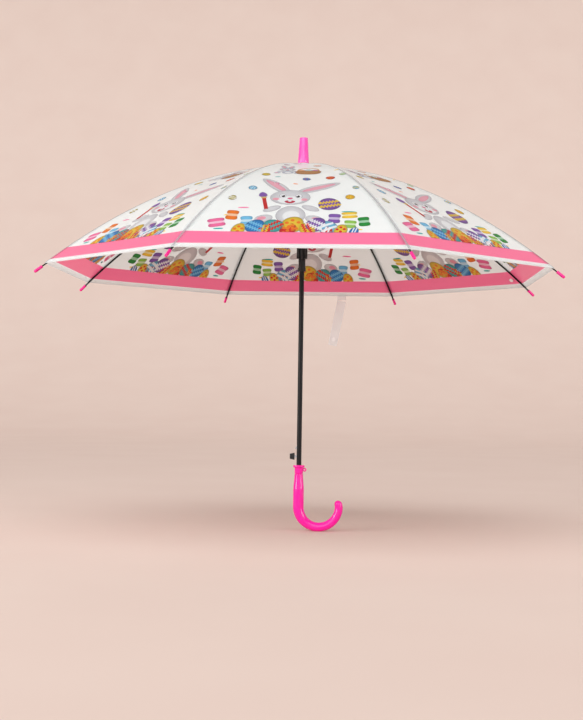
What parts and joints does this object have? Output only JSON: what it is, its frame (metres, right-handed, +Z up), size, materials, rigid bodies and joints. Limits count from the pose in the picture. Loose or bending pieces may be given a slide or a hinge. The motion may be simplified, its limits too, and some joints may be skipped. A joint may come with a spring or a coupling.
{
  "type": "children's umbrella",
  "caption": "Child's automatic stick umbrella, open: film gores on steel ribs, sliding runner and stretchers, push-button catch, hooked handle and tie strap.",
  "frame": {"origin": "on the shaft's axis at the middle of the handle's straight grip", "axes": "+Z up the shaft to the ferrule, +X towards the hook's open side, -Y to the front gore"},
  "size_m": [0.7998, 0.7998, 0.6411],
  "materials": {
    "pink_plastic": "hot pink, polished, moulded",
    "ferrule_pink": "pink, polished, slightly clear",
    "tip_pink": "deep pink soft plastic",
    "clear_plastic": "white, slightly clear",
    "shaft_black": "black enamelled steel tube",
    "rib_black": "black enamelled steel channel",
    "black_plastic": "black moulded plastic",
    "bare_steel": "bright drawn steel",
    "film": "milky see-through film, printed, with a pink band and a white hem"
  },
  "bodies": {
    "root": {"shaft": "shaft_black", "ferrule": "ferrule_pink", "top_washer": "clear_plastic", "crown": "black_plastic", "crown_wire": "bare_steel", "crown_pin": "bare_steel", "stop_pin": "bare_steel", "opening_spring": "bare_steel", "collar": "pink_plastic", "handle": "pink_plastic"},
    "latch": {"catch": "bare_steel", "button": "black_plastic"},
    "runner": {"runner": "black_plastic", "runner_wire": "bare_steel"},
    "rib_1": {"rib_1": "rib_black", "tip_1": "tip_pink", "rivet_1": "bare_steel"},
    "stretcher_1": {"stretcher_1": "rib_black"},
    "panel_1": {"panel_1": "film"},
    "rib_2": {"rib_2": "rib_black", "tip_2": "tip_pink", "rivet_2": "bare_steel"},
    "stretcher_2": {"stretcher_2": "rib_black"},
    "panel_2": {"panel_2": "film"},
    "rib_3": {"rib_3": "rib_black", "tip_3": "tip_pink", "rivet_3": "bare_steel"},
    "stretcher_3": {"stretcher_3": "rib_black"},
    "panel_3": {"panel_3": "film"},
    "rib_4": {"rib_4": "rib_black", "tip_4": "tip_pink", "rivet_4": "bare_steel", "snap_socket": "clear_plastic"},
    "stretcher_4": {"stretcher_4": "rib_black"},
    "panel_4": {"panel_4": "film"},
    "rib_5": {"rib_5": "rib_black", "tip_5": "tip_pink", "rivet_5": "bare_steel"},
    "stretcher_5": {"stretcher_5": "rib_black"},
    "panel_5": {"panel_5": "film"},
    "rib_6": {"rib_6": "rib_black", "tip_6": "tip_pink", "rivet_6": "bare_steel"},
    "stretcher_6": {"stretcher_6": "rib_black"},
    "panel_6": {"panel_6": "film"},
    "rib_7": {"rib_7": "rib_black", "tip_7": "tip_pink", "rivet_7": "bare_steel"},
    "stretcher_7": {"stretcher_7": "rib_black"},
    "panel_7": {"panel_7": "film"},
    "rib_8": {"rib_8": "rib_black", "tip_8": "tip_pink", "rivet_8": "bare_steel"},
    "stretcher_8": {"stretcher_8": "rib_black"},
    "panel_8": {"panel_8": "film"},
    "strap_tab": {"strap_tab": "clear_plastic"},
    "strap": {"strap": "clear_plastic", "snap_stud": "clear_plastic"}
  },
  "joints": [
    {"name": "runner_slide", "type": "slide", "parent": "root", "child": "runner", "axis": [0, 0, -1], "range_m": [0, 0.296], "stiffness_N_per_m": 60, "springref_m": -0.1, "deforming": ["opening_spring", "panel_1", "panel_2", "panel_3", "panel_4", "panel_5", "panel_6", "panel_7", "panel_8"]},
    {"name": "button_press", "type": "slide", "parent": "root", "child": "latch", "axis": [1, 0, 0], "range_m": [0, 0.003], "stiffness_N_per_m": 400, "springref_m": -0.002},
    {"name": "rib_1_hinge", "type": "hinge", "parent": "root", "child": "rib_1", "pos_m": [-0.00306, -0.00739, 0.527], "axis": [0.9239, -0.3827, 0], "range_deg": [0, 64.46]},
    {"name": "stretcher_1_hinge", "type": "hinge", "parent": "rib_1", "child": "stretcher_1", "pos_m": [-0.08151, -0.19679, 0.47071], "axis": [0.9239, -0.3827, 0], "range_deg": [-125.76, 0]},
    {"name": "panel_1_fold", "type": "hinge", "parent": "rib_1", "child": "panel_1", "pos_m": [0, -0.00866, 0.527], "axis": [0, 0.8641, -0.5033], "range_deg": [0, 47.11]},
    {"name": "rib_2_hinge", "type": "hinge", "parent": "root", "child": "rib_2", "pos_m": [0.00306, -0.00739, 0.527], "axis": [0.9239, 0.3827, 0], "range_deg": [0, 64.46]},
    {"name": "stretcher_2_hinge", "type": "hinge", "parent": "rib_2", "child": "stretcher_2", "pos_m": [0.08151, -0.19679, 0.47071], "axis": [0.9239, 0.3827, 0], "range_deg": [-125.76, 0]},
    {"name": "panel_2_fold", "type": "hinge", "parent": "rib_2", "child": "panel_2", "pos_m": [0.00612, -0.00612, 0.527], "axis": [-0.611, 0.611, -0.5033], "range_deg": [0, 47.11]},
    {"name": "rib_3_hinge", "type": "hinge", "parent": "root", "child": "rib_3", "pos_m": [0.00739, -0.00306, 0.527], "axis": [0.3827, 0.9239, 0], "range_deg": [0, 64.46]},
    {"name": "stretcher_3_hinge", "type": "hinge", "parent": "rib_3", "child": "stretcher_3", "pos_m": [0.19679, -0.08151, 0.47071], "axis": [0.3827, 0.9239, 0], "range_deg": [-125.76, 0]},
    {"name": "panel_3_fold", "type": "hinge", "parent": "rib_3", "child": "panel_3", "pos_m": [0.00866, 0, 0.527], "axis": [-0.8641, 0, -0.5033], "range_deg": [0, 47.11]},
    {"name": "rib_4_hinge", "type": "hinge", "parent": "root", "child": "rib_4", "pos_m": [0.00739, 0.00306, 0.527], "axis": [-0.3827, 0.9239, 0], "range_deg": [0, 64.46]},
    {"name": "stretcher_4_hinge", "type": "hinge", "parent": "rib_4", "child": "stretcher_4", "pos_m": [0.19679, 0.08151, 0.47071], "axis": [-0.3827, 0.9239, 0], "range_deg": [-125.76, 0]},
    {"name": "panel_4_fold", "type": "hinge", "parent": "rib_4", "child": "panel_4", "pos_m": [0.00612, 0.00612, 0.527], "axis": [-0.611, -0.611, -0.5033], "range_deg": [0, 47.11]},
    {"name": "rib_5_hinge", "type": "hinge", "parent": "root", "child": "rib_5", "pos_m": [0.00306, 0.00739, 0.527], "axis": [-0.9239, 0.3827, 0], "range_deg": [0, 64.46]},
    {"name": "stretcher_5_hinge", "type": "hinge", "parent": "rib_5", "child": "stretcher_5", "pos_m": [0.08151, 0.19679, 0.47071], "axis": [-0.9239, 0.3827, 0], "range_deg": [-125.76, 0]},
    {"name": "panel_5_fold", "type": "hinge", "parent": "rib_5", "child": "panel_5", "pos_m": [0, 0.00866, 0.527], "axis": [0, -0.8641, -0.5033], "range_deg": [0, 47.11]},
    {"name": "rib_6_hinge", "type": "hinge", "parent": "root", "child": "rib_6", "pos_m": [-0.00306, 0.00739, 0.527], "axis": [-0.9239, -0.3827, 0], "range_deg": [0, 64.46]},
    {"name": "stretcher_6_hinge", "type": "hinge", "parent": "rib_6", "child": "stretcher_6", "pos_m": [-0.08151, 0.19679, 0.47071], "axis": [-0.9239, -0.3827, 0], "range_deg": [-125.76, 0]},
    {"name": "panel_6_fold", "type": "hinge", "parent": "rib_6", "child": "panel_6", "pos_m": [-0.00612, 0.00612, 0.527], "axis": [0.611, -0.611, -0.5033], "range_deg": [0, 47.11]},
    {"name": "rib_7_hinge", "type": "hinge", "parent": "root", "child": "rib_7", "pos_m": [-0.00739, 0.00306, 0.527], "axis": [-0.3827, -0.9239, 0], "range_deg": [0, 64.46]},
    {"name": "stretcher_7_hinge", "type": "hinge", "parent": "rib_7", "child": "stretcher_7", "pos_m": [-0.19679, 0.08151, 0.47071], "axis": [-0.3827, -0.9239, 0], "range_deg": [-125.76, 0]},
    {"name": "panel_7_fold", "type": "hinge", "parent": "rib_7", "child": "panel_7", "pos_m": [-0.00866, 0, 0.527], "axis": [0.8641, 0, -0.5033], "range_deg": [0, 47.11]},
    {"name": "rib_8_hinge", "type": "hinge", "parent": "root", "child": "rib_8", "pos_m": [-0.00739, -0.00306, 0.527], "axis": [0.3827, -0.9239, 0], "range_deg": [0, 64.46]},
    {"name": "stretcher_8_hinge", "type": "hinge", "parent": "rib_8", "child": "stretcher_8", "pos_m": [-0.19679, -0.08151, 0.47071], "axis": [0.3827, -0.9239, 0], "range_deg": [-125.76, 0]},
    {"name": "panel_8_fold", "type": "hinge", "parent": "rib_8", "child": "panel_8", "pos_m": [-0.00612, -0.00612, 0.527], "axis": [0.611, 0.611, -0.5033], "range_deg": [0, 47.11]},
    {"name": "strap_tab_fold", "type": "hinge", "parent": "rib_5", "child": "strap_tab", "pos_m": [0, 0.00866, 0.527], "axis": [0, -0.8641, -0.5033], "range_deg": [0, 14.42]},
    {"name": "strap_swing", "type": "hinge", "parent": "strap_tab", "child": "strap", "pos_m": [0.06192, 0.38326, 0.34212], "axis": [1, 0, 0], "range_deg": [0, 60.8]}
  ],
  "couplings": [
    {"joint": "rib_1_hinge", "follows": "runner_slide", "rad_per_m": 3.8005},
    {"joint": "stretcher_1_hinge", "follows": "runner_slide", "rad_per_m": -7.4151},
    {"joint": "panel_1_fold", "follows": "runner_slide", "rad_per_m": 2.7773},
    {"joint": "rib_2_hinge", "follows": "runner_slide", "rad_per_m": 3.8005},
    {"joint": "stretcher_2_hinge", "follows": "runner_slide", "rad_per_m": -7.4151},
    {"joint": "panel_2_fold", "follows": "runner_slide", "rad_per_m": 2.7773},
    {"joint": "rib_3_hinge", "follows": "runner_slide", "rad_per_m": 3.8005},
    {"joint": "stretcher_3_hinge", "follows": "runner_slide", "rad_per_m": -7.4151},
    {"joint": "panel_3_fold", "follows": "runner_slide", "rad_per_m": 2.7773},
    {"joint": "rib_4_hinge", "follows": "runner_slide", "rad_per_m": 3.8005},
    {"joint": "stretcher_4_hinge", "follows": "runner_slide", "rad_per_m": -7.4151},
    {"joint": "panel_4_fold", "follows": "runner_slide", "rad_per_m": 2.7773},
    {"joint": "rib_5_hinge", "follows": "runner_slide", "rad_per_m": 3.8005},
    {"joint": "stretcher_5_hinge", "follows": "runner_slide", "rad_per_m": -7.4151},
    {"joint": "panel_5_fold", "follows": "runner_slide", "rad_per_m": 2.7773},
    {"joint": "rib_6_hinge", "follows": "runner_slide", "rad_per_m": 3.8005},
    {"joint": "stretcher_6_hinge", "follows": "runner_slide", "rad_per_m": -7.4151},
    {"joint": "panel_6_fold", "follows": "runner_slide", "rad_per_m": 2.7773},
    {"joint": "rib_7_hinge", "follows": "runner_slide", "rad_per_m": 3.8005},
    {"joint": "stretcher_7_hinge", "follows": "runner_slide", "rad_per_m": -7.4151},
    {"joint": "panel_7_fold", "follows": "runner_slide", "rad_per_m": 2.7773},
    {"joint": "rib_8_hinge", "follows": "runner_slide", "rad_per_m": 3.8005},
    {"joint": "stretcher_8_hinge", "follows": "runner_slide", "rad_per_m": -7.4151},
    {"joint": "panel_8_fold", "follows": "runner_slide", "rad_per_m": 2.7773},
    {"joint": "strap_tab_fold", "follows": "runner_slide", "rad_per_m": 0.84987},
    {"joint": "strap_swing", "follows": "runner_slide", "rad_per_m": 3.585}
  ]
}
